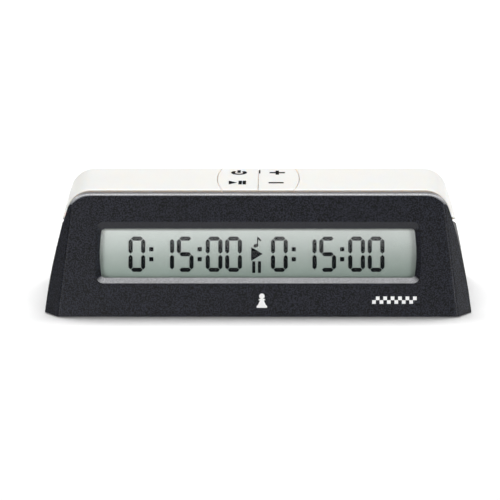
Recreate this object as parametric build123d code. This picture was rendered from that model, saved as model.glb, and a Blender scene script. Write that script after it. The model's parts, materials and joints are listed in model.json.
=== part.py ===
from build123d import *
import math
import os

# Digital chess clock with a sloping front bezel, a long display window and white keys along the top.
# Millimetres. X runs along the clock, the display faces -Y, Z is up and the feet stand on Z = 0.
# The origin is at the centre of the footprint.

# ---- driving dimensions: outer body ----
foot_drop = 0.3
base_z = foot_drop
top_z = 41.6
body_height = top_z - base_z
half_depth = 27.1
front_tilt = 20.0
rear_tilt = 8.5
base_half_width = 75.0
top_half_width = 64.8
side_bow = 1.37
shoulder_radius = 9.0
rear_edge_radius = 2.6

# ---- driving dimensions: front bezel and window ----
bezel_face = 2.6
bezel_wall = 2.0
bezel_drop = 0.8
bezel_top_depth = 2.1
bezel_base_depth = 5.6
bezel_edge_radius = 1.5
corner_facet_width = 4.9
corner_facet_depth = 5.4
corner_facet_top_width = 1.3
facet_top_z = 36.0
window_low = 13.74
window_high = 31.08
window_half_width = 55.6
window_side_bow = 0.7
window_bevel_low = 2.05
window_bevel_high = 2.2
window_bevel_side = 1.6
window_bevel_depth = 1.5
window_corner = 1.3

# ---- driving dimensions: white keys ----
key_proud = 0.3
key_wall = 1.8
key_gap = 0.5
key_side_gap = 0.2
key_centre_gap = 0.15
skirt_rear_y = 22.5
skirt_rear_z = 21.6
skirt_slope = 0.31
skirt_gap = 1.5
cluster_end_half_width = 12.5
cluster_mid_half_width = 14.45
cluster_low_z = 38.5
key_rib = 1.2
key_front_radius = 0.8
player_pin_y = 15.5
player_pin_z = 37.5
player_pin_radius = 1.0
rocker_pin_y = 4.6
rocker_pin_z = 37.9
rocker_pin_radius = 0.8
pin_clearance = 0.05

# ---- driving dimensions: housing, base and inner frame ----
housing_wall = 2.2
lip_wall = 1.2
lip_inset = 2.0
lip_height = 3.6
base_bottom = 0.5
base_top = 3.0
base_clearance = 0.3
deck_bottom = 32.5
deck_top = 34.1
pillar_x = 36.0
pillar_ys = (1.5, 15.0)
bezel_boss_x = 40.0
bezel_boss_y = -20.6
bezel_boss_top = 5.5
housing_boss_x = 69.3
housing_boss_y = 6.0
housing_boss_top = 12.5
key_board_screw_x = 28.4
key_board_screw_ys = (-3.6, 11.2)
player_dome_x = 22.0
player_dome_y = -2.0
panel_screw_x = 6.0
panel_screw_y = 16.2
foot_x = 60.0
foot_ys = (-16.0, 17.0)
foot_radius = 4.5
foot_height = 1.6
screw_head_z = 0.7
key_leg_x = 45.0

# ---- driving dimensions: cell and its bay ----
cell_radius = 7.25
cell_length = 49.2
cell_y = 9.4
cell_z = 10.5
bay_half_length = 27.4
bay_half_width = 8.2
bay_wall = 1.2
bay_roof_z = 18.5
door_half_width = 26.9
door_front_y = 1.2
door_bottom = 0.6
door_top = 2.2
rail_depth = 1.4
cell_lead_x = 26.2
contact_rise = 5.5
board_lead_y = -5.0

# ---- driving dimensions: display stack, depths measured into the body from the front face ----
lens_front = bezel_face
lens_thickness = 1.2
glass_front = 4.2
glass_thickness = 1.1
reflector_thickness = 0.2
board_front = 8.6
board_thickness = 1.6
board_half_width = 64.2
board_low = 8.0
board_high = 36.0
board_boss_x = 61.9
board_boss_vs = (11.0, 33.0)
glass_half_width = 57.2
wire_radius = 0.55
buzzer_x = 52.0
buzzer_y = 3.0

tilt_cos = math.cos(math.radians(front_tilt))
tilt_tan = math.tan(math.radians(front_tilt))
rear_tan = math.tan(math.radians(rear_tilt))
front_top_y = -half_depth + body_height * tilt_tan
rear_top_y = half_depth - body_height * rear_tan
seam_base_y = -half_depth + bezel_base_depth
seam_top_y = front_top_y + bezel_top_depth
beyond = 60.0
lens_rear = lens_front + lens_thickness
glass_middle = glass_front + glass_thickness
reflector_front = glass_middle + glass_thickness
board_rear = board_front + board_thickness
dome_ys = (rocker_pin_y - 7.0, rocker_pin_y + 7.0)
dome_height = 3.25
key_board_top = deck_top + 1.2
dome_top = key_board_top + dome_height

face_plane = Plane(
    origin=(0, -half_depth, base_z),
    x_dir=(1, 0, 0),
    z_dir=(0, -tilt_cos, math.sin(math.radians(front_tilt))),
)


# ---- helpers ----
def half_width(z):
    """Half width of the body at height z: a straight lean bowed gently outwards."""
    t = (z - base_z) / body_height
    return base_half_width + t * (top_half_width - base_half_width) + 4 * side_bow * t * (1 - t)


def seam_y(z):
    """Y of the bezel's rear edge at height z."""
    return seam_base_y + (z - base_z) / body_height * (seam_top_y - seam_base_y)


def block(x, y, z):
    """Box between the given (low, high) pairs."""
    size = Box(x[1] - x[0], y[1] - y[0], z[1] - z[0])
    return Pos((x[0] + x[1]) / 2, (y[0] + y[1]) / 2, (z[0] + z[1]) / 2) * size


def rod(x, y, z, radius):
    """Round bar along X."""
    return Pos((x[0] + x[1]) / 2, y, z) * Rot(0, 90, 0) * Cylinder(radius, x[1] - x[0])


def post(x, y, z, radius):
    """Upright round bar between the heights in z."""
    return Pos(x, y, (z[0] + z[1]) / 2) * Cylinder(radius, z[1] - z[0])


def face_block(x, v, depth):
    """Box in the front face's own directions: along X, up the face, and down into the body."""
    return face_plane * block(x, v, (-depth[1], -depth[0]))


def face_post(x, v, depth, radius):
    """Round bar square to the front face."""
    return face_plane * post(x, v, (-depth[1], -depth[0]), radius)


def side_prism(points):
    """Prism along X with the given (y, z) outline."""
    outline = make_face(Polyline(*points, close=True))
    return extrude(Plane.YZ * outline, amount=base_half_width + 10, both=True)


def envelope(side=0.0, front=0.0, rear=0.0, top=0.0, low=base_z):
    """Closed shape of the clock with each outer face moved inwards by the given amount."""
    high = top_z - top
    lower = Line((-half_width(low) + side, low), (half_width(low) - side, low))
    middle = (low + high) / 2
    right = ThreePointArc(
        (half_width(low) - side, low),
        (half_width(middle) - side, middle),
        (half_width(high) - side, high),
    )
    upper = Line((half_width(high) - side, high), (-half_width(high) + side, high))
    left = mirror(right, about=Plane.YZ)
    outline = make_face([lower, right, upper, left])
    corners = outline.vertices().sort_by(Axis.Y)[-2:]
    outline = fillet(corners, max(shoulder_radius - top, 1.0))
    width_body = extrude(Plane.XZ * outline, amount=half_depth + 10, both=True)
    front_y = -half_depth + (low - base_z) * tilt_tan + front / tilt_cos
    rear_y = half_depth - (low - base_z) * rear_tan - rear
    rise = high - low
    depth_body = side_prism([
        (front_y, low),
        (front_y + rise * tilt_tan, high),
        (rear_y - rise * rear_tan, high),
        (rear_y, low),
    ])
    return width_body & depth_body


def above_skirt(drop, rise=beyond):
    """Space above the white keys' lower edge moved down by drop; the edge climbs to the front."""
    def edge_z(y):
        return skirt_rear_z - drop + (skirt_rear_y - y) * skirt_slope

    return side_prism([
        (-beyond, edge_z(-beyond)),
        (beyond, edge_z(beyond)),
        (beyond, edge_z(beyond) + rise),
        (-beyond, edge_z(-beyond) + rise),
    ])


def behind_seam(gap):
    """Space behind the bezel's rear edge, starting a gap behind it."""
    return side_prism([
        (seam_y(-10) + gap, -10),
        (seam_y(beyond) + gap, beyond),
        (beyond, beyond),
        (beyond, -10),
    ])


def before_seam():
    """Space in front of the bezel's rear edge."""
    return side_prism([(-beyond, -10), (-beyond, beyond), (seam_y(beyond), beyond), (seam_y(-10), -10)])


def rear_rounded(solid, radius):
    """The solid with its rear top edge and rear upright edges rounded."""
    rear_face = solid.faces().sort_by(Axis.Y)[-1]
    edges = [e for e in rear_face.edges() if e.center().Z > base_z + 2]
    return fillet(edges, radius)


def window_outline(grow_side, grow_low, grow_high, corner):
    """Window opening on the front face, with sides that bow gently outwards."""
    mid = window_half_width + grow_side
    end = mid - window_side_bow
    low = window_low - grow_low
    high = window_high + grow_high
    middle = (low + high) / 2
    right = ThreePointArc((end, low), (mid, middle), (end, high))
    left = mirror(right, about=Plane.YZ)
    outline = make_face([Line((-end, low), (end, low)), right, Line((end, high), (-end, high)), left])
    return fillet(outline.vertices(), corner)


def cluster_region(gap):
    """Upright space of the function keys: bowed at both sides, wider by gap."""
    front = seam_top_y - 10
    rear = half_depth + 10
    end = cluster_end_half_width + gap
    mid = cluster_mid_half_width + gap
    right = ThreePointArc((end, seam_top_y), (mid, rocker_pin_y), (end, rear_top_y))
    left = mirror(right, about=Plane.YZ)
    outline = make_face([
        Line((-end, front), (end, front)),
        Line((end, front), (end, seam_top_y)),
        right,
        Line((end, rear_top_y), (end, rear)),
        Line((end, rear), (-end, rear)),
        Line((-end, rear), (-end, rear_top_y)),
        left,
        Line((-end, seam_top_y), (-end, front)),
    ])
    return extrude(outline, amount=beyond)


def screw(length, head_radius=2.1, head_height=1.2, shank_radius=1.1):
    """Pan-head screw with a cross recess: head from Z = 0 up, shank above it."""
    head = post(0, 0, (0, head_height), head_radius)
    head = fillet(head.edges().sort_by(Axis.Z)[0], 0.4)
    shank = post(0, 0, (head_height, head_height + length), shank_radius)
    shank = chamfer(shank.edges().sort_by(Axis.Z)[-1], 0.4)
    recess = block((-1.2, 1.2), (-0.25, 0.25), (-1, 0.7)) + block((-0.25, 0.25), (-1.2, 1.2), (-1, 0.7))
    return head + shank - recess


def wire(points, radius, bend):
    """Insulated wire along straight runs joined by round bends."""
    path = FilletPolyline(*points, radius=bend)
    section = Plane(origin=path @ 0, z_dir=path % 0) * Circle(radius)
    return sweep(section, path)


def bent_strip(points, bend, thickness, x):
    """Thin strip, wide along X, that follows the given (y, z) points."""
    path = FilletPolyline(*points, radius=bend)
    ribbon = trace(path, line_width=thickness)
    strip = extrude(Plane.YZ * ribbon, amount=(x[1] - x[0]) / 2, both=True)
    return Pos((x[0] + x[1]) / 2, 0, 0) * strip


def beyond_facet(side, inset):
    """Space outside the slanting facet at one front corner, moved inwards by inset."""
    low_front = Vector(side * (base_half_width - corner_facet_width), -half_depth, base_z)
    low_side = Vector(side * base_half_width, -half_depth + corner_facet_depth, base_z)
    high_front = Vector(
        side * (half_width(facet_top_z) - corner_facet_top_width),
        -half_depth + (facet_top_z - base_z) * tilt_tan,
        facet_top_z,
    )
    outward = (low_side - low_front).cross(high_front - low_front)
    if outward.X * side < 0:
        outward = outward * -1
    facet = Plane(origin=low_front, z_dir=outward)
    return facet * Pos(0, 0, beyond - inset) * Box(4 * beyond, 4 * beyond, 2 * beyond)


# ---- outer pieces ----
def make_bezel():
    """Black sloping front with side facets, window opening and bosses for the display board."""
    body = envelope(top=bezel_drop) & before_seam()
    for side in (-1, 1):
        body = body - beyond_facet(side, 0)
    front_face = body.faces().filter_by(lambda f: f.normal_at().dot(face_plane.z_dir) > 0.999)[0]
    rim = [e for e in front_face.edges() if e.center().Z > base_z + 0.5]
    body = fillet(rim, bezel_edge_radius)
    cavity = envelope(
        side=bezel_wall,
        front=bezel_face,
        rear=-10,
        top=bezel_drop + bezel_wall,
        low=base_z - 2,
    )
    for side in (-1, 1):
        cavity = cavity - beyond_facet(side, bezel_wall)
    body = body - cavity
    bevel = loft([
        face_plane * window_outline(window_bevel_side, window_bevel_low, window_bevel_high, 2.6),
        face_plane * Pos(0, 0, -window_bevel_depth) * window_outline(0, 0, 0, window_corner),
    ], ruled=True)
    opening = face_plane * extrude(window_outline(0, 0, 0, window_corner), amount=-bezel_face - 1)
    body = body - bevel - opening
    for x in (-board_boss_x, board_boss_x):
        for v in board_boss_vs:
            boss = face_post(x, v, (bezel_face - 0.5, board_front), 2.0)
            body = body + boss - face_post(x, v, (board_front - 5, board_front + 1), 0.95)
    for x in (-bezel_boss_x, bezel_boss_x):
        boss = post(x, bezel_boss_y, (base_top, bezel_boss_top), 2.4)
        web = block((x - 1, x + 1), (bezel_boss_y - 2.9, bezel_boss_y - 0.4), (base_top, bezel_boss_top))
        body = body + boss + (web & envelope(front=1))
        body = body - post(x, bezel_boss_y, (0, bezel_boss_top - 0.4), 1.15)
    return body


def make_lid():
    """White upper body, uncut: as a solid block, and hollowed to a shell."""
    outer = rear_rounded(envelope(side=-key_proud), rear_edge_radius)
    outer = outer & behind_seam(key_gap)
    front_face = outer.faces().sort_by(Axis.Y)[0]
    rim = [e for e in front_face.edges() if e.center().Z > skirt_rear_z]
    outer = fillet(rim, key_front_radius)
    inset = key_wall - key_proud
    inner = envelope(side=inset, front=-10, rear=key_wall, top=key_wall, low=base_z - 2)
    inner = rear_rounded(inner, rear_edge_radius - key_wall)
    return outer, outer - inner


def half_space(side, gap):
    """Everything on one side of the centre line, starting a gap away from it."""
    near, far = side * gap, side * beyond * 2
    return block((min(near, far), max(near, far)), (-beyond, beyond), (0, beyond))


def make_player_key(block_body, shell, side):
    """Large key on one side: top, shoulder, side skirt and rear skirt, with hinge ears."""
    top_inside = top_z - key_wall
    rib_z = (cluster_low_z - 0.5, beyond)
    key = shell & half_space(side, 0) & above_skirt(0)
    band = block_body & half_space(side, 0) & cluster_region(key_side_gap + key_rib)
    band = band & block((-beyond, beyond), (-beyond, beyond), rib_z)
    key = (key + band) - cluster_region(key_side_gap)
    ear_top = top_inside + 0.3
    for x in (21.5, 56.5):
        ear_x = sorted((side * x, side * (x + 2.5)))
        ear = block(ear_x, (player_pin_y - 2, player_pin_y + 2), (player_pin_z, ear_top))
        key = key + ear + rod(ear_x, player_pin_y, player_pin_z, 2.0)
    bore_x = sorted((side * 21.0, side * 59.8))
    key = key - rod(bore_x, player_pin_y, player_pin_z, player_pin_radius + pin_clearance)
    plunger = post(side * player_dome_x, player_dome_y, (dome_top + 0.05, ear_top), 2.5)
    leg_x = (side * key_leg_x - 2, side * key_leg_x + 2)
    leg = block(leg_x, (-0.6, 0.6), (deck_bottom - 1.6, ear_top))
    toe = block(leg_x, (-1.8, -0.6), (deck_bottom - 1.6, deck_bottom - 0.4))
    key = key + plunger + leg + toe
    for x in (32, 60):
        key = key + block((side * x - 0.5, side * x + 0.5), (-7.0, 12.5), (player_pin_z + 0.4, ear_top))
    return key


def make_function_key(block_body, side):
    """Two-way rocker key, printed with a symbol at each end, with walls under its rim."""
    half_gap = key_centre_gap / 2
    above = block((-beyond, beyond), (-beyond, beyond), (cluster_low_z, beyond))
    key = block_body & half_space(side, half_gap) & cluster_region(0) & above
    pocket = cluster_region(-key_rib) & half_space(side, half_gap + key_rib)
    pocket = pocket & behind_seam(key_gap + key_rib) & envelope(rear=key_wall, top=key_wall)
    key = key - pocket
    frame_ear = block((-1.5, 1.5), (rocker_pin_y - 2.2, rocker_pin_y + 2.2), (0, rocker_pin_z + 2.2))
    key = key - frame_ear
    top_inside = top_z - key_wall
    for x in (2.2, 6.8):
        ear_x = sorted((side * x, side * (x + 1.5)))
        ear = block(ear_x, (rocker_pin_y - 1.7, rocker_pin_y + 1.7), (rocker_pin_z, top_inside + 0.3))
        key = key + ear + rod(ear_x, rocker_pin_y, rocker_pin_z, 1.7)
    key = key - rod((-12, 12), rocker_pin_y, rocker_pin_z, rocker_pin_radius + pin_clearance)
    for y in dome_ys:
        key = key + post(side * 5.5, y, (dome_top + 0.05, top_inside + 0.3), 1.6)
    return key


def make_rear_panel(lid):
    """White fixed panel at the centre of the back, below the function keys."""
    half = cluster_end_half_width
    panel = lid & above_skirt(skirt_gap) & block((-half, half), (10, 50), (0, cluster_low_z - 0.9))
    flange = block((-10, 10), (14.4, 24), (deck_bottom - 1.8, deck_bottom))
    panel = panel + (flange & envelope(rear=1))
    for x in (-panel_screw_x, panel_screw_x):
        panel = panel - post(x, panel_screw_y, (deck_bottom - 3, deck_bottom + 1), 0.9)
    return panel


def make_housing():
    """Black lower shell: side and rear walls, with an inner lip that the white keys close over."""
    outer = rear_rounded(envelope(), rear_edge_radius) & behind_seam(0.12)
    inner = rear_rounded(
        envelope(side=housing_wall, front=-10, rear=housing_wall, top=housing_wall, low=base_z - 2),
        rear_edge_radius - housing_wall,
    )
    wall = (outer - inner) - above_skirt(skirt_gap)
    lip_outer = envelope(side=lip_inset, front=0, rear=lip_inset + 0.3, top=lip_inset)
    lip_inner = envelope(
        side=lip_inset + lip_wall,
        front=-10,
        rear=lip_inset + lip_wall + 0.3,
        top=lip_inset + lip_wall,
        low=base_z - 2,
    )
    lip = (lip_outer - lip_inner) & behind_seam(0.6) & above_skirt(skirt_gap + 2, rise=lip_height + 2)
    lip = lip - (block((-13.2, 13.2), (0, 50), (0, 60)) & above_skirt(skirt_gap))
    wall = wall + lip
    for side in (-1, 1):
        boss = post(side * housing_boss_x, housing_boss_y, (base_top, housing_boss_top), 3.0)
        pilot = post(side * housing_boss_x, housing_boss_y, (base_top - 1, housing_boss_top - 1), 1.15)
        wall = wall + (boss & envelope(side=1)) - pilot
    notch_x = door_half_width + rail_depth + 0.6
    notch = block((-notch_x, notch_x), (0, 50), (0, door_top + 0.3))
    return wall - notch


def make_base():
    """Bottom plate with the cell bay, door rails, screw holes, foot recesses and sound holes."""
    clear = housing_wall + base_clearance
    inside = envelope(side=clear, front=bezel_face + base_clearance, rear=clear, top=10)
    for side in (-1, 1):
        inside = inside - beyond_facet(side, bezel_wall + base_clearance)
    plate = inside & block((-90, 90), (-50, 50), (base_bottom, base_top))
    bay_x = bay_half_length + bay_wall
    bay_y = (cell_y - bay_half_width - bay_wall, cell_y + bay_half_width + bay_wall)
    bay = block((-bay_x, bay_x), bay_y, (base_top - 0.5, bay_roof_z + bay_wall))
    bay = bay - block(
        (-bay_half_length, bay_half_length),
        (bay_y[0] + bay_wall, bay_y[1] - bay_wall),
        (0, bay_roof_z),
    )
    for x in (-cell_lead_x, cell_lead_x):
        bay = bay - post(x, cell_y, (bay_roof_z - 1, bay_roof_z + 3), 0.8)
    plate = plate + bay
    slot = door_half_width + 0.3
    plate = plate - block((-slot, slot), (door_front_y - 0.3, 50), (0, base_top - 0.8))
    plate = plate - block((-slot, slot), (bay_y[0] + bay_wall, bay_y[1] - bay_wall), (0, base_top))
    rail = (door_top - 0.9, door_top + 0.1)
    plate = plate - block((-slot - rail_depth, slot + rail_depth), (door_front_y - 0.3, 50), rail)
    for x, y in base_screw_places():
        plate = plate - post(x, y, (0, screw_head_z + 1.2), 2.5) - post(x, y, (0, 10), 1.3)
    for x, y in foot_places():
        plate = plate - post(x, y, (0, foot_height), foot_radius + 0.1)
    for x, y in sound_holes():
        plate = plate - post(x, y, (0, 10), 0.8)
    return plate


def make_door():
    """Sliding cell door with side tongues and finger ridges."""
    rear_y = half_depth - rear_tan * 2 - 0.3
    plate = block((-door_half_width, door_half_width), (door_front_y, rear_y), (door_bottom, door_top))
    tongue_x = door_half_width + rail_depth
    tongue = block((-tongue_x, tongue_x), (door_front_y, 23.6), (door_top - 0.8, door_top))
    door = plate + tongue
    for i in range(5):
        y = 17.0 + 1.6 * i
        door = door - block((-8, 8), (y, y + 0.7), (0, door_bottom + 0.4))
    return door


def foot_places():
    return [(x, y) for x in (-foot_x, foot_x) for y in foot_ys]


def base_screw_places():
    pillars = [(x, y) for x in (-pillar_x, pillar_x) for y in pillar_ys]
    front = [(x, bezel_boss_y) for x in (-bezel_boss_x, bezel_boss_x)]
    sides = [(x, housing_boss_y) for x in (-housing_boss_x, housing_boss_x)]
    return pillars + front + sides


def sound_holes():
    angles = [math.radians(a) for a in range(0, 360, 60)]
    ring = [(buzzer_x + 4 * math.cos(a), buzzer_y + 4 * math.sin(a)) for a in angles]
    return [(buzzer_x, buzzer_y)] + ring


def key_board_screw_places():
    return [(x, y) for x in (-key_board_screw_x, key_board_screw_x) for y in key_board_screw_ys]


# ---- inner frame and switch parts ----
def pin_ears(x_low, x_high, y, z, radius):
    """Fixed ear that rises from the deck and holds a pin."""
    ear = block((x_low, x_high), (y - radius, y + radius), (deck_bottom + 0.5, z))
    return ear + rod((x_low, x_high), y, z, radius)


def rocker_ear_spans():
    return [(-1.1, 1.1), (9.4, 10.9), (-10.9, -9.4)]


def make_frame():
    """Inner deck on four pillars: carries the key pins, the key board and the rear panel."""
    deck = block((-62, 62), (-5.0, 18.0), (deck_bottom, deck_top))
    deck = deck & envelope(side=4.5, front=4, rear=3.0, top=4)
    for x in (-pillar_x, pillar_x):
        for y in pillar_ys:
            deck = deck + post(x, y, (base_top, deck_bottom + 0.5), 3.0)
            deck = deck - post(x, y, (0, base_top + 10), 1.15)
    for low, high in ((24.6, 27.6), (52.9, 55.9)):
        deck = deck + pin_ears(low, high, player_pin_y, player_pin_z, 2.0)
        deck = deck + pin_ears(-high, -low, player_pin_y, player_pin_z, 2.0)
    deck = deck - rod((-70, 70), player_pin_y, player_pin_z, player_pin_radius)
    for low, high in rocker_ear_spans():
        deck = deck + pin_ears(low, high, rocker_pin_y, rocker_pin_z, 1.6)
    deck = deck - rod((-20, 20), rocker_pin_y, rocker_pin_z, rocker_pin_radius)
    for side in (-1, 1):
        slot_x = (side * key_leg_x - 2.5, side * key_leg_x + 2.5)
        deck = deck - block(slot_x, (-0.9, 1.8), (deck_bottom - 1, deck_top + 1))
        for span in ((21.0, 24.5), (56.0, 59.5)):
            low, high = sorted((side * span[0], side * span[1]))
            deck = deck - block((low, high), (player_pin_y - 2.6, 30), (deck_top - 0.4, deck_top + 1))
        deck = deck - post(side * panel_screw_x, panel_screw_y, (deck_bottom - 1, deck_top + 1), 1.1)
    for x, y in key_board_screw_places():
        deck = deck - post(x, y, (deck_bottom - 1, deck_top + 1), 0.7)
    deck = deck - block((-8.5, 8.5), (-0.2, 2.2), (deck_bottom - 1, deck_top + 1))
    return deck


def make_key_board():
    """Printed board under the keys, slotted round the frame's ears."""
    board = block((-30.5, 30.5), (-4.9, 12.9), (deck_top, key_board_top))
    for low, high in rocker_ear_spans():
        slot_y = (rocker_pin_y - 1.9, rocker_pin_y + 1.9)
        board = board - block((low - 0.3, high + 0.3), slot_y, (deck_top - 1, key_board_top + 1))
    for x, y in key_board_screw_places():
        board = board - post(x, y, (deck_top - 1, key_board_top + 1), 0.9)
    return board


def dome(x, y, radius):
    """Silicone spring dome: a cone on a flange with a flat crown, hollow below."""
    neck = radius * 0.62
    base = Pos(x, y, key_board_top) * extrude(Circle(radius + 0.8), amount=0.5)
    cone = loft([Circle(radius), Pos(0, 0, 1.8) * Circle(neck)])
    crown = post(x, y, (key_board_top + 2.1, dome_top), radius * 0.55)
    hollow = loft([Circle(radius - 0.4), Pos(0, 0, 1.9) * Circle(neck - 0.4)])
    outside = base + Pos(x, y, key_board_top + 0.4) * cone + crown
    return outside - Pos(x, y, key_board_top - 0.1) * hollow


# ---- display stack ----
def make_display_holder():
    """Frame that holds the display glass behind the lens."""
    frame_v = (window_low - 4.6, window_high + 4.6)
    pocket_v = (window_low - 2.5, window_high + 2.5)
    view_v = (window_low - 1.0, window_high + 1.0)
    pocket_x = glass_half_width + 0.2
    view_x = window_half_width + 0.8
    frame = face_block((-pocket_x - 2.2, pocket_x + 2.2), frame_v, (lens_rear, 7.0))
    pocket = face_block((-pocket_x, pocket_x), pocket_v, (glass_front, 8.0))
    view = face_block((-view_x, view_x), view_v, (lens_rear - 1, glass_front + 1))
    return frame - pocket - view


def make_display_board():
    """Printed board behind the display."""
    board_x = (-board_half_width, board_half_width)
    board = face_block(board_x, (board_low, board_high), (board_front, board_rear))
    for x in (-board_boss_x, board_boss_x):
        for v in board_boss_vs:
            board = board - face_post(x, v, (board_front - 1, board_front + 3), 1.1)
    return board


def board_screw(x, v):
    """Screw through the display board into a bezel boss."""
    placed = face_plane * Pos(x, v, -board_rear - 1.2)
    return placed * screw(5.6, head_radius=1.9, shank_radius=0.9)


def make_cell():
    """Cylindrical cell along X with a raised positive end."""
    body = rod((-cell_length / 2, cell_length / 2), cell_y, cell_z, cell_radius)
    body = fillet(body.edges().filter_by(GeomType.CIRCLE), 0.8)
    nub = rod((cell_length / 2 - 0.1, cell_length / 2 + 1.3), cell_y, cell_z, 2.75)
    return body + nub


def make_contact_strip(v):
    """Rubber contact strip between the display glass and its board."""
    return face_block((-54, 54), v, (reflector_front, board_front))


def make_ribbon():
    """Flat cable from the key board down and forward to the socket on the display board."""
    socket_point = (face_plane * Pos(0, 31.8, -board_rear - 2.7)).position
    turn_z = socket_point.Z - 3.5
    path = [
        (1.0, deck_top),
        (1.0, turn_z),
        (socket_point.Y + 0.3, turn_z - 1.5),
        (socket_point.Y + 0.1, socket_point.Z),
    ]
    return bent_strip(path, 1.0, 0.3, (-6.5, 6.5))


def make_cell_wire(side):
    """Lead from one end of the cell bay to the display board."""
    lead = [
        (side * cell_lead_x, cell_y, cell_z + contact_rise + 0.1),
        (side * cell_lead_x, cell_y, 23.0),
        (side * 26.0, 2.0, 24.5),
        (side * 24.0, board_lead_y, 24.0),
    ]
    return wire(lead, wire_radius, 2.0)


def make_buzzer_wire(x):
    """Lead from the buzzer to the display board."""
    lead = [
        (x, buzzer_y, base_top + 5.0),
        (x, buzzer_y - 1.0, 14.0),
        (x - 2.0, -3.0, 18.0),
        (x - 2.0, board_lead_y - 1.5, 20.0),
    ]
    return wire(lead, wire_radius, 2.0)


# ---- assembly ----
lid_block, lid_shell = make_lid()
nodes = {
    "front_bezel": make_bezel(),
    "lower_housing": make_housing(),
    "base_plate": make_base(),
    "battery_door": make_door(),
    "rear_panel": make_rear_panel(lid_shell),
    "inner_frame": make_frame(),
    "key_board": make_key_board(),
    "function_pin": rod((-11.4, 11.4), rocker_pin_y, rocker_pin_z, rocker_pin_radius),
}
for side, word in ((-1, "left"), (1, "right")):
    nodes["player_key_" + word] = make_player_key(lid_block, lid_shell, side)
    nodes["function_key_" + word] = make_function_key(lid_block, side)
    pin_x = sorted((side * 20.8, side * 59.6))
    nodes["player_pin_" + word] = rod(pin_x, player_pin_y, player_pin_z, player_pin_radius)
    nodes["player_dome_" + word] = dome(side * player_dome_x, player_dome_y, 3.6)
    nodes["front_dome_" + word] = dome(side * 5.5, dome_ys[0], 2.6)
    nodes["rear_dome_" + word] = dome(side * 5.5, dome_ys[1], 2.6)

# fasteners and feet
key_board_screw = screw(2.6, head_radius=1.4, head_height=1.0, shank_radius=0.65)
nodes["key_board_screws"] = Compound([
    Pos(x, y, key_board_top + 1.0) * Rot(180, 0, 0) * key_board_screw for x, y in key_board_screw_places()
])
panel_screw = screw(3.2, head_radius=1.7, head_height=1.0, shank_radius=0.85)
nodes["rear_panel_screws"] = Compound([
    Pos(x, panel_screw_y, deck_top + 1.0) * Rot(180, 0, 0) * panel_screw
    for x in (-panel_screw_x, panel_screw_x)
])
nodes["base_screws"] = Compound([
    Pos(x, y, screw_head_z) * screw(2.4 if y < 0 else 9.0) for x, y in base_screw_places()
])
foot_names = ("foot_front_left", "foot_rear_left", "foot_front_right", "foot_rear_right")
for name, (x, y) in zip(foot_names, foot_places()):
    foot = post(x, y, (0, foot_height), foot_radius)
    nodes[name] = fillet(foot.edges().sort_by(Axis.Z)[0], 0.5)

# display stack
glass_x = (-glass_half_width, glass_half_width)
glass_v = (window_low - 2.3, window_high + 2.3)
lens_x = (-window_half_width - 3.0, window_half_width + 3.0)
lens_v = (window_low - 3.2, window_high + 3.2)
reflector_x = (-window_half_width - 1.0, window_half_width + 1.0)
reflector_v = (window_low - 0.3, window_high + 0.3)
nodes["window_lens"] = face_block(lens_x, lens_v, (lens_front, lens_rear))
nodes["display_front_glass"] = face_block(glass_x, glass_v, (glass_front, glass_middle))
nodes["display_rear_glass"] = face_block(glass_x, glass_v, (glass_middle, reflector_front))
nodes["display_reflector"] = face_block(
    reflector_x, reflector_v, (reflector_front, reflector_front + reflector_thickness)
)
nodes["display_holder"] = make_display_holder()
nodes["contact_strip_low"] = make_contact_strip((glass_v[0] + 0.1, glass_v[0] + 1.8))
nodes["contact_strip_high"] = make_contact_strip((glass_v[1] - 1.8, glass_v[1] - 0.1))
nodes["display_board"] = make_display_board()
nodes["display_board_screws"] = Compound([
    board_screw(x, v) for x in (-board_boss_x, board_boss_x) for v in board_boss_vs
])
chip_blob = face_post(-18, 24, (board_rear, board_rear + 1.4), 5.5)
nodes["chip_cover"] = fillet(chip_blob.edges().sort_by(Axis.Y)[-1], 1.1)
nodes["timing_crystal"] = face_block((-4, 4), (26, 28.4), (board_rear, board_rear + 2.2))
nodes["capacitors"] = Compound([face_post(x, 17, (board_rear, board_rear + 4.2), 2.1) for x in (34, 41)])
nodes["ribbon_socket"] = face_block((-8, 8), (30.6, 33.0), (board_rear, board_rear + 2.6))
nodes["ribbon_cable"] = make_ribbon()

# cell, its contacts, buzzer and leads
contact_y = (cell_y - 4.5, cell_y + 4.5)
contact_z = (cell_z - contact_rise, cell_z + contact_rise)
buzzer_z = (base_top, base_top + 4.5)
nodes["battery_cell"] = make_cell()
nodes["positive_contact"] = block((26.0, 26.6), contact_y, contact_z)
contact_button = rod((-26.5, -24.6), cell_y, cell_z, 3)
nodes["negative_contact"] = block((-27.0, -26.5), contact_y, contact_z) + contact_button
buzzer_recess = post(buzzer_x, buzzer_y, (0, base_top + 0.8), 6.5)
nodes["buzzer"] = post(buzzer_x, buzzer_y, buzzer_z, 8.5) - buzzer_recess
nodes["cell_wire_negative"] = make_cell_wire(-1)
nodes["cell_wire_positive"] = make_cell_wire(1)
nodes["buzzer_wires"] = Compound([make_buzzer_wire(x) for x in (buzzer_x - 2, buzzer_x + 2)])

os.makedirs("parts", exist_ok=True)
for name, shape in nodes.items():
    export_step(shape, f"parts/{name}.step")
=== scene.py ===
import json
import math

import bpy
import bmesh
from mathutils import Matrix, Vector

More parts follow.
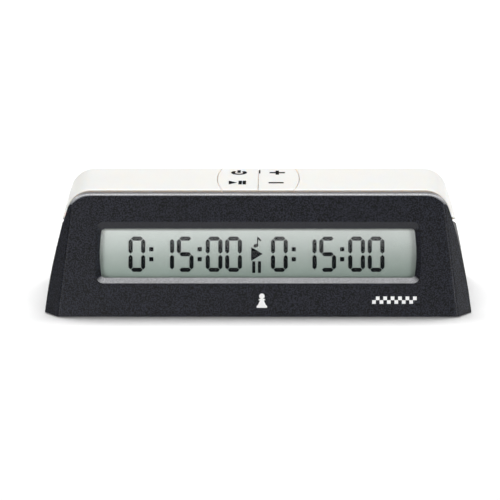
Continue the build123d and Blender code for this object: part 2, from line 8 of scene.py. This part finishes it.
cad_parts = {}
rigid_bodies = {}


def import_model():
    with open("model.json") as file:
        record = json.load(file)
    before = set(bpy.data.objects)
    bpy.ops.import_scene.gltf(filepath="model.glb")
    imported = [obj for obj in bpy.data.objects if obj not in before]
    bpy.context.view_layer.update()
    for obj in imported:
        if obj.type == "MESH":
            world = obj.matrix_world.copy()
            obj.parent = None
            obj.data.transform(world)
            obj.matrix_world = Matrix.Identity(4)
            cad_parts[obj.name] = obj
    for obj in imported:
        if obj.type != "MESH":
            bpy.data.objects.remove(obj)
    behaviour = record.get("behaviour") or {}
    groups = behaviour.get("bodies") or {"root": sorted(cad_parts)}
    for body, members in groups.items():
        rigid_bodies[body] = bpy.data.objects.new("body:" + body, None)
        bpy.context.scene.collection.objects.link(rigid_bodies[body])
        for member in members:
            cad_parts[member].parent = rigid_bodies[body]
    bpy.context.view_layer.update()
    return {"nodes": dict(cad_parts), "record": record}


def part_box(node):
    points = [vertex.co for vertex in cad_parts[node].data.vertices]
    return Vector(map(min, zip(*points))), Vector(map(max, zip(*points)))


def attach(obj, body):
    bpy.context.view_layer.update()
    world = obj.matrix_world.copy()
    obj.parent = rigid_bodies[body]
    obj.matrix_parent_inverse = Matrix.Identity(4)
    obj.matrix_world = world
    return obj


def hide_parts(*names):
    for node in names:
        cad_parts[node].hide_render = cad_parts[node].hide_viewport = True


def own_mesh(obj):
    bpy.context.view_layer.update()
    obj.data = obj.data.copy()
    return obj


for left_over in list(bpy.data.objects):
    bpy.data.objects.remove(left_over)

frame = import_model()
nodes = frame["nodes"]
mm = 0.001

# ---- places: the bezel's face, the keys' top and the visible part of the display ----
bezel_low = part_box("front_bezel")[0]
key_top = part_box("player_key_right")[1].z
front_tilt = math.radians(20)
face_origin = Vector((0, bezel_low.y, bezel_low.z))
face_up = Vector((0, math.sin(front_tilt), math.cos(front_tilt)))
face_out = Vector((0, -math.cos(front_tilt), math.sin(front_tilt)))
face_matrix = Matrix((
    (1, face_up.x, face_out.x, face_origin.x),
    (0, face_up.y, face_out.y, face_origin.y),
    (0, face_up.z, face_out.z, face_origin.z),
    (0, 0, 0, 1),
))
top_matrix = Matrix.Translation((0, 0, key_top))
display_top = 27.97 * mm


# ---- shader helpers ----
class Shader:
    """A material's node tree with short calls for the nodes that the materials below share."""

    def __init__(self, name):
        self.material = bpy.data.materials.new(name)
        self.material.use_nodes = True
        self.tree = self.material.node_tree
        self.tree.nodes.clear()
        self.out = self.add("ShaderNodeOutputMaterial")
        self.body = self.add("ShaderNodeBsdfPrincipled")
        self.link(self.body.outputs["BSDF"], self.out.inputs["Surface"])
        self.place = self.add("ShaderNodeTexCoord").outputs["Object"]

    def add(self, kind, **values):
        node = self.tree.nodes.new(kind)
        for key, value in values.items():
            setattr(node, key, value)
        return node

    def link(self, source, target):
        self.tree.links.new(source, target)

    def set(self, **values):
        """Constants on the principled shader, with underscores for spaces."""
        for key, value in values.items():
            self.body.inputs[key.replace("_", " ")].default_value = value

    def noise(self, scale, detail=2.0, roughness=0.5, stretch=None):
        node = self.add("ShaderNodeTexNoise")
        node.inputs["Scale"].default_value = scale
        node.inputs["Detail"].default_value = detail
        node.inputs["Roughness"].default_value = roughness
        place = self.place
        if stretch:
            mapping = self.add("ShaderNodeMapping")
            mapping.inputs["Scale"].default_value = stretch
            self.link(self.place, mapping.inputs["Vector"])
            place = mapping.outputs["Vector"]
        self.link(place, node.inputs["Vector"])
        return node.outputs["Fac"]

    def ramp(self, fac, stops):
        """Colour ramp with (position, value or colour) stops."""
        node = self.add("ShaderNodeValToRGB")
        points = node.color_ramp.elements
        while len(points) < len(stops):
            points.new(0.5)
        for point, (position, colour) in zip(points, stops):
            point.position = position
            point.color = (*colour, 1) if isinstance(colour, tuple) else (colour, colour, colour, 1)
        self.link(fac, node.inputs["Fac"])
        return node.outputs["Color"]

    def blend(self, fac, first, second, mode="MIX"):
        """Mix of two colours; fac and either colour may be a number, a colour or a socket."""
        node = self.add("ShaderNodeMix", data_type="RGBA", blend_type=mode)
        for socket, value in ((node.inputs[0], fac), (node.inputs[6], first), (node.inputs[7], second)):
            if isinstance(value, bpy.types.NodeSocket):
                self.link(value, socket)
            elif isinstance(value, tuple):
                socket.default_value = (*value, 1)
            else:
                socket.default_value = value
        return node.outputs[2]

    def span(self, fac, low, high, start=0.0, end=1.0):
        """Number that runs from low to high as fac goes from start to end."""
        node = self.add("ShaderNodeMapRange")
        node.inputs["From Min"].default_value = start
        node.inputs["From Max"].default_value = end
        node.inputs["To Min"].default_value = low
        node.inputs["To Max"].default_value = high
        self.link(fac, node.inputs["Value"])
        return node.outputs["Result"]

    def half_range(self, value):
        """Moves a value from the range -1 to 1 into the range 0 to 1."""
        return self.span(value, 0.0, 1.0, start=-1.0)

    def axes(self, vector):
        """X, Y and Z parts of a vector."""
        node = self.add("ShaderNodeSeparateXYZ")
        self.link(vector, node.inputs["Vector"])
        return node.outputs

    def facing(self):
        """X, Y and Z parts of the direction that the surface faces."""
        return self.axes(self.add("ShaderNodeNewGeometry").outputs["Normal"])

    def bump(self, height, strength, distance):
        node = self.add("ShaderNodeBump")
        node.inputs["Strength"].default_value = strength
        node.inputs["Distance"].default_value = distance
        self.link(height, node.inputs["Height"])
        self.link(node.outputs["Normal"], self.body.inputs["Normal"])


def grained_plastic(name, dark, light, roughness, grain, depth, specular=0.5):
    """Moulded plastic with a spark-eroded grain: speckled colour, fine bump and slightly uneven gloss."""
    s = Shader(name)
    speckle = s.noise(grain, detail=2.0, roughness=0.6)
    broad = s.noise(90, detail=2.0)
    tone = s.ramp(speckle, [(0.43, dark), (0.57, light)])
    shade = s.ramp(broad, [(0.3, 0.9), (0.7, 1.0)])
    s.link(s.blend(1.0, tone, shade, "MULTIPLY"), s.body.inputs["Base Color"])
    s.link(s.span(broad, roughness - 0.05, roughness + 0.06), s.body.inputs["Roughness"])
    s.bump(speckle, depth, 0.00012)
    s.set(Specular_IOR_Level=specular)
    return s.material


def bezel_plastic():
    """Black spark-grained moulding; painted light: a smoother, lighter upper window bevel and a pale
    highlight on sill and top.
    """
    s = Shader("bezel_grain")
    speckle = s.noise(2350, detail=1.0, roughness=0.5)
    broad = s.noise(90, detail=2.0)
    facing = s.facing()
    sill = 0.831  # upward part of the sill's normal
    # Painted highlight mask: upward faces, strongest on the sill, take a pale tone standing in for the
    # overhead light's glint.
    rise = s.ramp(facing["Z"], [
        (0.5, 0.0), (0.78, 0.85), (sill - 0.02, 0.87), (sill - 0.008, 1.0),
        (sill + 0.008, 1.0), (sill + 0.02, 0.85), (0.97, 0.26),
    ])
    flat = s.ramp(speckle, [(0.475, (0.0003, 0.0004, 0.0008)), (0.535, (0.0185, 0.0205, 0.0305))])
    # Painted bounce light: downward faces such as the window's upper bevel take this smoother, lighter tone
    # in place of light bounced up from the floor.
    smooth_painted_bounce = s.ramp(speckle, [(0.35, (0.017, 0.0175, 0.021)), (0.65, (0.023, 0.024, 0.029))])
    # Mask of the downward faces that take the painted bounce light.
    under = s.ramp(s.half_range(facing["Z"]), [(0.2, 1.0), (0.45, 1.0), (0.55, 0.0)])
    flat = s.blend(under, flat, smooth_painted_bounce)
    # Pale painted highlight colour for the upward faces.
    painted_satin_highlight = s.ramp(speckle, [(0.35, (0.45, 0.455, 0.47)), (0.65, (0.66, 0.666, 0.688))])
    shade = s.ramp(broad, [(0.3, 0.9), (0.7, 1.0)])
    s.link(s.blend(1.0, s.blend(rise, flat, painted_satin_highlight), shade, "MULTIPLY"), s.body.inputs["Base Color"])
    s.link(s.span(rise, 0.34, 0.28), s.body.inputs["Roughness"])
    s.bump(speckle, 0.8, 0.00012)
    s.set(Specular_IOR_Level=0.25)
    return s.material


def smooth_plastic(name, colour, roughness, variation=0.02):
    """Polished moulding: faint tone drift, light dust-like mottling and a soft orange-peel bump."""
    s = Shader(name)
    drift = s.noise(25, detail=2.0)
    fine = s.noise(1800, detail=2.0)
    low = tuple(c * (1 - variation) for c in colour)
    tone = s.ramp(drift, [(0.3, low), (0.7, colour)])
    s.link(tone, s.body.inputs["Base Color"])
    s.link(s.span(s.noise(160, detail=3.0), roughness - 0.05, roughness + 0.06), s.body.inputs["Roughness"])
    s.bump(fine, 0.06, 0.00008)
    return s.material


def white_plastic():
    """Warm white key plastic with light passing into it, painted glow on walls beside the gaps and painted
    shade on front walls.
    """
    s = Shader("white_key_plastic")
    drift = s.noise(22, detail=2.0)
    mottle = s.noise(2600, detail=2.0)
    tone = s.ramp(drift, [(0.3, (0.755, 0.752, 0.725)), (0.7, (0.775, 0.771, 0.744))])
    facing = s.facing()
    sideways = s.ramp(s.half_range(facing["X"]), [(0.1, 1.0), (0.2, 0.0), (0.8, 0.0), (0.9, 1.0)])
    upright = s.ramp(facing["Z"], [(0.06, 1.0), (0.12, 0.0)])
    # Painted shade: front-facing walls below the key tops are darkened to tan.
    painted_front_shade = s.ramp(s.half_range(facing["Y"]), [(0.05, 1.0), (0.12, 0.0)])
    # Painted glow: upright walls facing sideways, beside the gaps, are tinted a lighter peach in place of
    # light shining through the plastic into the gaps.
    painted_gap_glow = s.blend(1.0, sideways, upright, "MULTIPLY")
    tone = s.blend(painted_gap_glow, tone, (1.0, 0.86, 0.72))
    s.link(s.blend(painted_front_shade, tone, (0.46, 0.40, 0.34)), s.body.inputs["Base Color"])
    s.link(s.span(s.noise(220, detail=3.0), 0.36, 0.46), s.body.inputs["Roughness"])
    s.bump(mottle, 0.05, 0.00008)
    s.set(Subsurface_Weight=1.0, Subsurface_Radius=(0.0012, 0.0010, 0.0008), Subsurface_Scale=1.0)
    return s.material


def brushed_metal(name, colour, roughness=0.32):
    """Plated steel: fine streaks in colour and gloss."""
    s = Shader(name)
    streak = s.noise(900, detail=3.0, stretch=(0.15, 1.0, 1.0))
    dull = tuple(c * 0.82 for c in colour)
    s.link(s.ramp(streak, [(0.3, dull), (0.7, colour)]), s.body.inputs["Base Color"])
    s.link(s.span(streak, roughness - 0.07, roughness + 0.08), s.body.inputs["Roughness"])
    s.bump(streak, 0.12, 0.00005)
    s.set(Metallic=1.0)
    return s.material


def board_material():
    """Printed board: green mask over faint copper tracks."""
    s = Shader("solder_mask")
    tracks = s.add("ShaderNodeTexBrick")
    tracks.inputs["Scale"].default_value = 240
    tracks.inputs["Mortar Size"].default_value = 0.03
    tracks.inputs["Color1"].default_value = (0.012, 0.11, 0.05, 1)
    tracks.inputs["Color2"].default_value = (0.015, 0.13, 0.055, 1)
    tracks.inputs["Mortar"].default_value = (0.03, 0.2, 0.08, 1)
    s.link(s.place, tracks.inputs["Vector"])
    s.link(tracks.outputs["Color"], s.body.inputs["Base Color"])
    s.link(s.span(s.noise(500), 0.25, 0.4), s.body.inputs["Roughness"])
    s.bump(tracks.outputs["Fac"], 0.3, 0.00004)
    return s.material


def rubber_material(name, colour, roughness):
    """Matt rubber with a dusty bloom."""
    s = Shader(name)
    bloom = s.noise(400, detail=4.0, roughness=0.7)
    light = tuple(min(1.0, c * 1.5 + 0.01) for c in colour)
    s.link(s.ramp(bloom, [(0.35, colour), (0.75, light)]), s.body.inputs["Base Color"])
    s.link(s.span(bloom, roughness - 0.08, roughness + 0.08), s.body.inputs["Roughness"])
    s.bump(bloom, 0.2, 0.0001)
    s.set(Specular_IOR_Level=0.25)
    return s.material


def clear_material(name, tint, gloss_roughness, index):
    """Thin clear sheet: passes light straight on and mirrors its surroundings faintly."""
    s = Shader(name)
    s.tree.nodes.remove(s.body)
    clear = s.add("ShaderNodeBsdfTransparent")
    haze = s.noise(300, detail=2.0)
    s.link(s.ramp(haze, [(0.3, tuple(c * 0.985 for c in tint)), (0.7, tint)]), clear.inputs["Color"])
    gloss = s.add("ShaderNodeBsdfGlossy")
    gloss.inputs["Roughness"].default_value = gloss_roughness
    edge = s.add("ShaderNodeFresnel")
    edge.inputs["IOR"].default_value = index
    mix = s.add("ShaderNodeMixShader")
    s.link(edge.outputs["Fac"], mix.inputs["Fac"])
    s.link(clear.outputs["BSDF"], mix.inputs[1])
    s.link(gloss.outputs["BSDF"], mix.inputs[2])
    s.link(mix.outputs["Shader"], s.out.inputs["Surface"])
    return s.material


def display_material():
    """Pearly grey-green backing, fine sparkle; painted reflection at the top, painted shade to the right,
    painted shadow below the window's edge.
    """
    s = Shader("display_backing")
    pearl = s.noise(5000, detail=2.0)
    spot = s.axes(s.place)
    # Painted reflection: the backing grows lighter towards the top, in place of the overhead light mirrored
    # in it.
    rise = s.span(spot["Z"], 0.0, 1.0, start=13 * mm, end=29 * mm)
    # Painted shadow: a dark band just below the window's upper edge.
    painted_edge_shadow = s.span(spot["Z"], 1.0, 0.25, start=display_top - 0.7 * mm, end=display_top)
    # Painted shade: the backing darkens towards the right.
    painted_side_shade = s.span(spot["X"], 1.0, 0.83, start=-55 * mm, end=55 * mm)
    tone = s.ramp(rise, [(0.0, (0.425, 0.505, 0.462)), (1.0, (0.915, 0.95, 0.93))])
    tone = s.blend(1.0, tone, painted_side_shade, "MULTIPLY")
    tone = s.blend(1.0, tone, painted_edge_shadow, "MULTIPLY")
    sparkle = s.ramp(pearl, [(0.35, 0.93), (0.65, 1.0)])
    s.link(s.blend(1.0, tone, sparkle, "MULTIPLY"), s.body.inputs["Base Color"])
    s.link(s.span(pearl, 0.3, 0.4), s.body.inputs["Roughness"])
    s.set(Specular_IOR_Level=0.4)
    return s.material


def ink_material(name, colour, roughness):
    """Printed ink with a slightly uneven edge gloss."""
    s = Shader(name)
    cover = s.noise(3500, detail=1.0)
    light = tuple(min(1.0, c * 1.08 + 0.002) for c in colour)
    s.link(s.ramp(cover, [(0.35, colour), (0.65, light)]), s.body.inputs["Base Color"])
    s.link(s.span(cover, roughness - 0.06, roughness + 0.06), s.body.inputs["Roughness"])
    s.bump(cover, 0.15, 0.00003)
    s.set(Specular_IOR_Level=0.03)
    return s.material


finishes = {
    "black_bezel": bezel_plastic(),
    "black_plastic": grained_plastic(
        "housing_grain", dark=(0.011, 0.011, 0.012), light=(0.02, 0.02, 0.022),
        roughness=0.55, grain=3200, depth=0.3,
    ),
    "white_plastic": white_plastic(),
    "silicone": rubber_material("silicone", (0.42, 0.42, 0.41), 0.5),
    "foot_rubber": rubber_material("foot_rubber", (0.018, 0.018, 0.018), 0.8),
    "steel": brushed_metal("plated_steel", (0.62, 0.61, 0.58)),
    "board": board_material(),
    "clear_lens": clear_material("window_lens_clear", (0.985, 0.993, 0.988), 0.06, 1.45),
    "display_glass": clear_material("display_glass_clear", (0.98, 0.99, 0.985), 0.1, 1.02),
    "reflector": display_material(),
    "cell_sleeve": smooth_plastic("cell_sleeve", (0.03, 0.09, 0.24), 0.3, 0.15),
    "component_black": smooth_plastic("component_epoxy", (0.014, 0.014, 0.015), 0.5, 0.2),
    "red_wire": smooth_plastic("red_insulation", (0.45, 0.02, 0.02), 0.35, 0.12),
    "black_wire": smooth_plastic("black_insulation", (0.012, 0.012, 0.012), 0.35, 0.2),
    "ribbon": smooth_plastic("ribbon_film", (0.62, 0.62, 0.58), 0.35, 0.08),
}
key_ink = ink_material("key_ink", (0.003, 0.003, 0.0035), 0.6)
white_ink = ink_material("white_ink", (0.8, 0.8, 0.8), 0.5)
segment_ink = ink_material("segment_ink", (0.003, 0.0045, 0.006), 0.6)

for part in frame["record"]["subparts"]:
    mesh = nodes[part["node"]].data
    mesh.materials.clear()
    mesh.materials.append(finishes[part["material_slot"]])
nodes["display_front_glass"].data.materials[0] = finishes["reflector"]


# ---- silicone domes: own copies on the clock body in place of the part's domes ----
dome_drops = (
    ("player_dome", "player_key_{}_press", 0.95 * mm),
    ("front_dome", "function_key_{}_rock", 0.37 * mm),
    ("rear_dome", "function_key_{}_rock", 0.37 * mm),
)
for dome, joint, drop in dome_drops:
    for side in ("left", "right"):
        node = f"{dome}_{side}"
        soft_dome = bpy.data.objects.new(f"soft_{node}", nodes[node].data.copy())
        bpy.context.scene.collection.objects.link(soft_dome)
        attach(soft_dome, "clock_body")
        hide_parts(node)
        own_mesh(soft_dome)


# ---- flat printed and display shapes ----
def plate(name, outlines, matrix, depth, material, body):
    """Thin raised shape: closed outlines in millimetres on a plane, each one a low prism."""
    mesh = bpy.data.meshes.new(name)
    built = bmesh.new()
    for outline in outlines:
        low = [built.verts.new(matrix @ Vector((x * mm, y * mm, depth[0] * mm))) for x, y in outline]
        high = [built.verts.new(matrix @ Vector((x * mm, y * mm, depth[1] * mm))) for x, y in outline]
        built.faces.new(high)
        built.faces.new(low[::-1])
        for i in range(len(outline)):
            j = (i + 1) % len(outline)
            built.faces.new((low[i], low[j], high[j], high[i]))
    bmesh.ops.recalc_face_normals(built, faces=built.faces)
    built.to_mesh(mesh)
    built.free()
    piece = bpy.data.objects.new(name, mesh)
    bpy.context.scene.collection.objects.link(piece)
    mesh.materials.append(material)
    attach(piece, body)


def shifted(outline, dx, dy):
    return [(x + dx, y + dy) for x, y in outline]


def rectangle(x0, y0, x1, y1):
    return [(x0, y0), (x1, y0), (x1, y1), (x0, y1)]


def round_rectangle(x0, y0, x1, y1, radius, steps=4):
    """Rectangle with rounded corners."""
    points = []
    corners = ((x1 - radius, y0 + radius, -90), (x1 - radius, y1 - radius, 0),
               (x0 + radius, y1 - radius, 90), (x0 + radius, y0 + radius, 180))
    for cx, cy, start in corners:
        for i in range(steps + 1):
            a = math.radians(start + 90 * i / steps)
            points.append((cx + radius * math.cos(a), cy + radius * math.sin(a)))
    return points


def arc_band(cx, cy, inner, outer, start, end, steps=40):
    """Part of a ring between two angles in degrees."""
    angles = [math.radians(start + (end - start) * i / steps) for i in range(steps + 1)]
    out = [(cx + outer * math.cos(a), cy + outer * math.sin(a)) for a in angles]
    back = [(cx + inner * math.cos(a), cy + inner * math.sin(a)) for a in reversed(angles)]
    return out + back


# ---- display digits ----
digit_width = 5.9
digit_height = 12.45
stroke = 1.45
tip_flat = 0.16
row_ends = (0.95, 4.95)
column_ends = (0.26, 5.30)
row_offset = (digit_height - stroke) / 2


def bar_across(x0, x1, y):
    """Sideways segment with pointed ends."""
    half, tip = stroke / 2, stroke / 2 - tip_flat / 2
    flat = tip_flat / 2
    return [(x0, y - flat), (x0 + tip, y - half), (x1 - tip, y - half),
            (x1, y - flat), (x1, y + flat), (x1 - tip, y + half), (x0 + tip, y + half), (x0, y + flat)]


def bar_up(x, y0, y1):
    """Upright segment with pointed ends."""
    half, tip = stroke / 2, stroke / 2 - tip_flat / 2
    flat = tip_flat / 2
    return [(x - flat, y0), (x + flat, y0), (x + half, y0 + tip), (x + half, y1 - tip),
            (x + flat, y1), (x - flat, y1), (x - half, y1 - tip), (x - half, y0 + tip)]


segment_shapes = {
    "top": bar_across(*row_ends, row_offset),
    "middle": bar_across(*row_ends, 0),
    "bottom": bar_across(*row_ends, -row_offset),
    "upper_left": bar_up(stroke / 2, *column_ends),
    "upper_right": bar_up(digit_width - stroke / 2, *column_ends),
    "lower_left": bar_up(stroke / 2, -column_ends[1], -column_ends[0]),
    "lower_right": bar_up(digit_width - stroke / 2, -column_ends[1], -column_ends[0]),
}
digit_segments = {
    "0": ("top", "bottom", "upper_left", "upper_right", "lower_left", "lower_right"),
    "1": ("upper_right", "lower_right"),
    "5": ("top", "middle", "bottom", "upper_left", "lower_right"),
}
digit_pitch = 6.86
colon_pitch = 10.15
colon_dot = 1.5
colon_rise = 1.76
group_offset = 25.07
display_x = -0.55
display_v = 22.15


def time_reading(text, centre_x, centre_v):
    """Outlines of a time such as 0:15:00, centred on a point."""
    places = []
    x = 0.0
    for i, mark in enumerate(text):
        if mark == ":":
            places.append((mark, x + (colon_pitch - digit_pitch) / 2 - digit_pitch / 2))
            x += colon_pitch - digit_pitch
        else:
            places.append((mark, x))
            x += digit_pitch
    middle = (places[0][1] + places[-1][1]) / 2
    outlines = []
    for mark, place in places:
        cx = centre_x + place - middle
        if mark == ":":
            half = colon_dot / 2
            for rise in (-colon_rise, colon_rise):
                outlines.append(round_rectangle(cx - half, centre_v + rise - half, cx + half,
                                                centre_v + rise + half, 0.15))
            continue
        for segment in digit_segments[mark]:
            outlines.append(shifted(segment_shapes[segment], cx - digit_width / 2, centre_v))
    return outlines


def note_symbol(x, y):
    """Eighth note: tilted head, stem and flag."""
    tilt_cos, tilt_sin = math.cos(math.radians(20)), math.sin(math.radians(20))
    head = []
    for i in range(20):
        a = 2 * math.pi * i / 20
        px, py = 0.85 * math.cos(a), 0.62 * math.sin(a)
        head.append((x + px * tilt_cos - py * tilt_sin, y + px * tilt_sin + py * tilt_cos))
    stem = rectangle(x + 0.4, y + 0.1, x + 0.78, y + 2.75)
    flag = [(0.4, 3.1), (0.78, 3.1), (1.95, 1.95), (1.75, 1.5), (0.78, 2.15)]
    return [head, stem, shifted(flag, x, y)]


triangle = [(-1.85, -2.35), (2.2, 0.1), (-1.85, 2.55)]
bars = [round_rectangle(x, -6.6, x + 1.1, -2.5, 0.15) for x in (-1.5, 0.5)]
status = note_symbol(display_x - 0.2, display_v + 3.0)
status += [shifted(outline, display_x, display_v) for outline in (triangle, *bars)]
segment_depth = (-4.12, -4.06)
for side, offset in (("left", -group_offset), ("right", group_offset)):
    plate(f"{side}_time", time_reading("0:15:00", display_x + offset, display_v), face_matrix,
          segment_depth, segment_ink, "clock_body")
plate("status_symbols", status, face_matrix, segment_depth, segment_ink, "clock_body")

# ---- symbols on the function keys ----
print_depth = (-0.05, 0.02)
line = 1.6
rear_row, front_row = 13.3, -0.15
power_x = -7.0
power = [
    arc_band(power_x, rear_row, 1.45, 2.85, 128, 412),
    round_rectangle(power_x - 0.6, rear_row - 0.3, power_x + 0.6, rear_row + 3.3, 0.2),
]
play = [[(-10.45, front_row - 2.35), (-10.45, front_row + 2.45), (-7.5, front_row + 0.05)]]
pause = [rectangle(x, front_row - 2.45, x + 1.2, front_row + 2.45) for x in (-7.0, -5.55)]
plate("power_and_start_symbols", power + play + pause, top_matrix, print_depth, key_ink,
      "function_key_left")


def plus_outline(x, y, reach, thickness_x, thickness_y):
    """Upright cross centred on a point."""
    a, b = thickness_x / 2, thickness_y / 2
    return [
        (x - reach, y - b), (x - a, y - b), (x - a, y - reach), (x + a, y - reach),
        (x + a, y - b), (x + reach, y - b), (x + reach, y + b), (x + a, y + b),
        (x + a, y + reach), (x - a, y + reach), (x - a, y + b), (x - reach, y + b),
    ]


plus = plus_outline(6.7, rear_row, 2.75, 1.2, line)
minus_y = front_row - 0.25
minus = rectangle(3.7, minus_y - line / 2, 9.0, minus_y + line / 2)
centre_mark = rectangle(0.12, 12.2, 0.64, 16.8)
plate("plus_and_minus_symbols", [plus, minus, centre_mark], top_matrix, print_depth, key_ink,
      "function_key_right")


# ---- generic prints on the bezel ----
def pawn(x, v, size):
    """Chess pawn outline standing on v."""
    right = [(0.36, 0.0), (0.36, 0.12), (0.27, 0.2), (0.13, 0.5), (0.22, 0.53), (0.22, 0.6), (0.1, 0.62)]
    points = [(px * size, py * size) for px, py in right]
    head = []
    for i in range(13):
        a = math.radians(-60 + 300 * i / 12)
        head.append((0.19 * size * math.cos(a), 0.8 * size + 0.19 * size * math.sin(a)))
    left = [(-px, py) for px, py in reversed(points)]
    return [(x + px, v + py) for px, py in points + head + left]


def checker_strip(x0, v0, square, columns):
    """Two rows of alternating squares."""
    return [
        rectangle(x0 + i * square, v0 + (i % 2) * square, x0 + (i + 1) * square, v0 + (i % 2 + 1) * square)
        for i in range(columns)
    ]


bezel_prints = [pawn(x=1.4, v=3.1, size=5.1)] + checker_strip(x0=40.0, v0=4.5, square=1.3, columns=12)
plate("bezel_prints", bezel_prints, face_matrix, print_depth, white_ink, "clock_body")


# ---- stage ----
def softbox(name, location, aim, size, power_watts):
    """Rectangular area light aimed at a point."""
    light = bpy.data.lights.new(name, "AREA")
    light.shape = "RECTANGLE"
    light.size, light.size_y = size
    light.energy = power_watts
    lamp = bpy.data.objects.new(name, light)
    bpy.context.scene.collection.objects.link(lamp)
    lamp.location = location
    lamp.rotation_mode = "QUATERNION"
    lamp.rotation_quaternion = (Vector(aim) - Vector(location)).to_track_quat("-Z", "Y")


def make_floor():
    """Pale studio sheet."""
    mesh = bpy.data.meshes.new("studio_floor")
    half = 4.0
    corners = [(-half, -half, 0), (half, -half, 0), (half, half, 0), (-half, half, 0)]
    mesh.from_pydata(corners, [], [(0, 1, 2, 3)])
    floor = bpy.data.objects.new("studio_floor", mesh)
    bpy.context.scene.collection.objects.link(floor)
    s = Shader("studio_sheet")
    s.link(s.ramp(s.noise(3.0), [(0.3, 0.93), (0.7, 0.95)]), s.body.inputs["Base Color"])
    s.set(Roughness=0.9, Specular_IOR_Level=0.1)
    mesh.materials.append(s.material)


def make_camera():
    """Camera in front and a little above, far off with a long lens."""
    target = Vector((-3.0, -0.6, 16.8)) * mm
    elevation = math.radians(16.5)
    azimuth = math.radians(0.7)
    distance = 1.150
    back = Vector((
        math.sin(azimuth) * math.cos(elevation),
        -math.cos(azimuth) * math.cos(elevation),
        math.sin(elevation),
    ))
    data = bpy.data.cameras.new("studio_camera")
    data.lens = 232.2
    data.sensor_width = 36.0
    data.clip_start, data.clip_end = 0.05, 20.0
    camera = bpy.data.objects.new("studio_camera", data)
    bpy.context.scene.collection.objects.link(camera)
    camera.location = target + back * distance
    camera.rotation_mode = "QUATERNION"
    roll = Matrix.Rotation(math.radians(-0.2), 3, back)
    camera.rotation_quaternion = roll.to_quaternion() @ (-back).to_track_quat("-Z", "Y")
    bpy.context.scene.camera = camera


def make_world():
    """Room light: pale behind the object, dark behind the camera."""
    world = bpy.data.worlds.new("studio_world")
    bpy.context.scene.world = world
    world.use_nodes = True
    tree = world.node_tree
    direction = tree.nodes.new("ShaderNodeTexCoord").outputs["Generated"]
    parts = tree.nodes.new("ShaderNodeSeparateXYZ")
    tree.links.new(direction, parts.inputs["Vector"])
    level = tree.nodes.new("ShaderNodeMapRange")
    level.inputs["From Min"].default_value = -0.4
    level.inputs["From Max"].default_value = 0.4
    level.inputs["To Min"].default_value = 0.03
    level.inputs["To Max"].default_value = 0.35
    tree.links.new(parts.outputs["Y"], level.inputs["Value"])
    background = tree.nodes["Background"]
    background.inputs["Color"].default_value = (1.0, 1.0, 1.0, 1)
    tree.links.new(level.outputs["Result"], background.inputs["Strength"])


bpy.context.scene.view_settings.view_transform = "Standard"
make_world()
make_floor()
make_camera()
body_middle = (0, 0, 0.02)
window_middle = (0.0, -0.0195, 0.0213)
softbox("overhead_softbox", (0.0, 0.47, 0.99), body_middle, (0.9, 0.24), 13.3)
softbox("window_card", (0.0, -0.8331, 0.4070), window_middle, (0.26, 0.05), 0.085)
softbox("left_softbox", (-0.7, -1.33, 0.28), body_middle, (0.7, 0.45), 9.0)
softbox("right_softbox", (0.9, -1.2, 0.28), body_middle, (0.7, 0.45), 10.5)
softbox("right_card", (1.3, 0.12, 0.12), body_middle, (0.6, 0.4), 1.4)
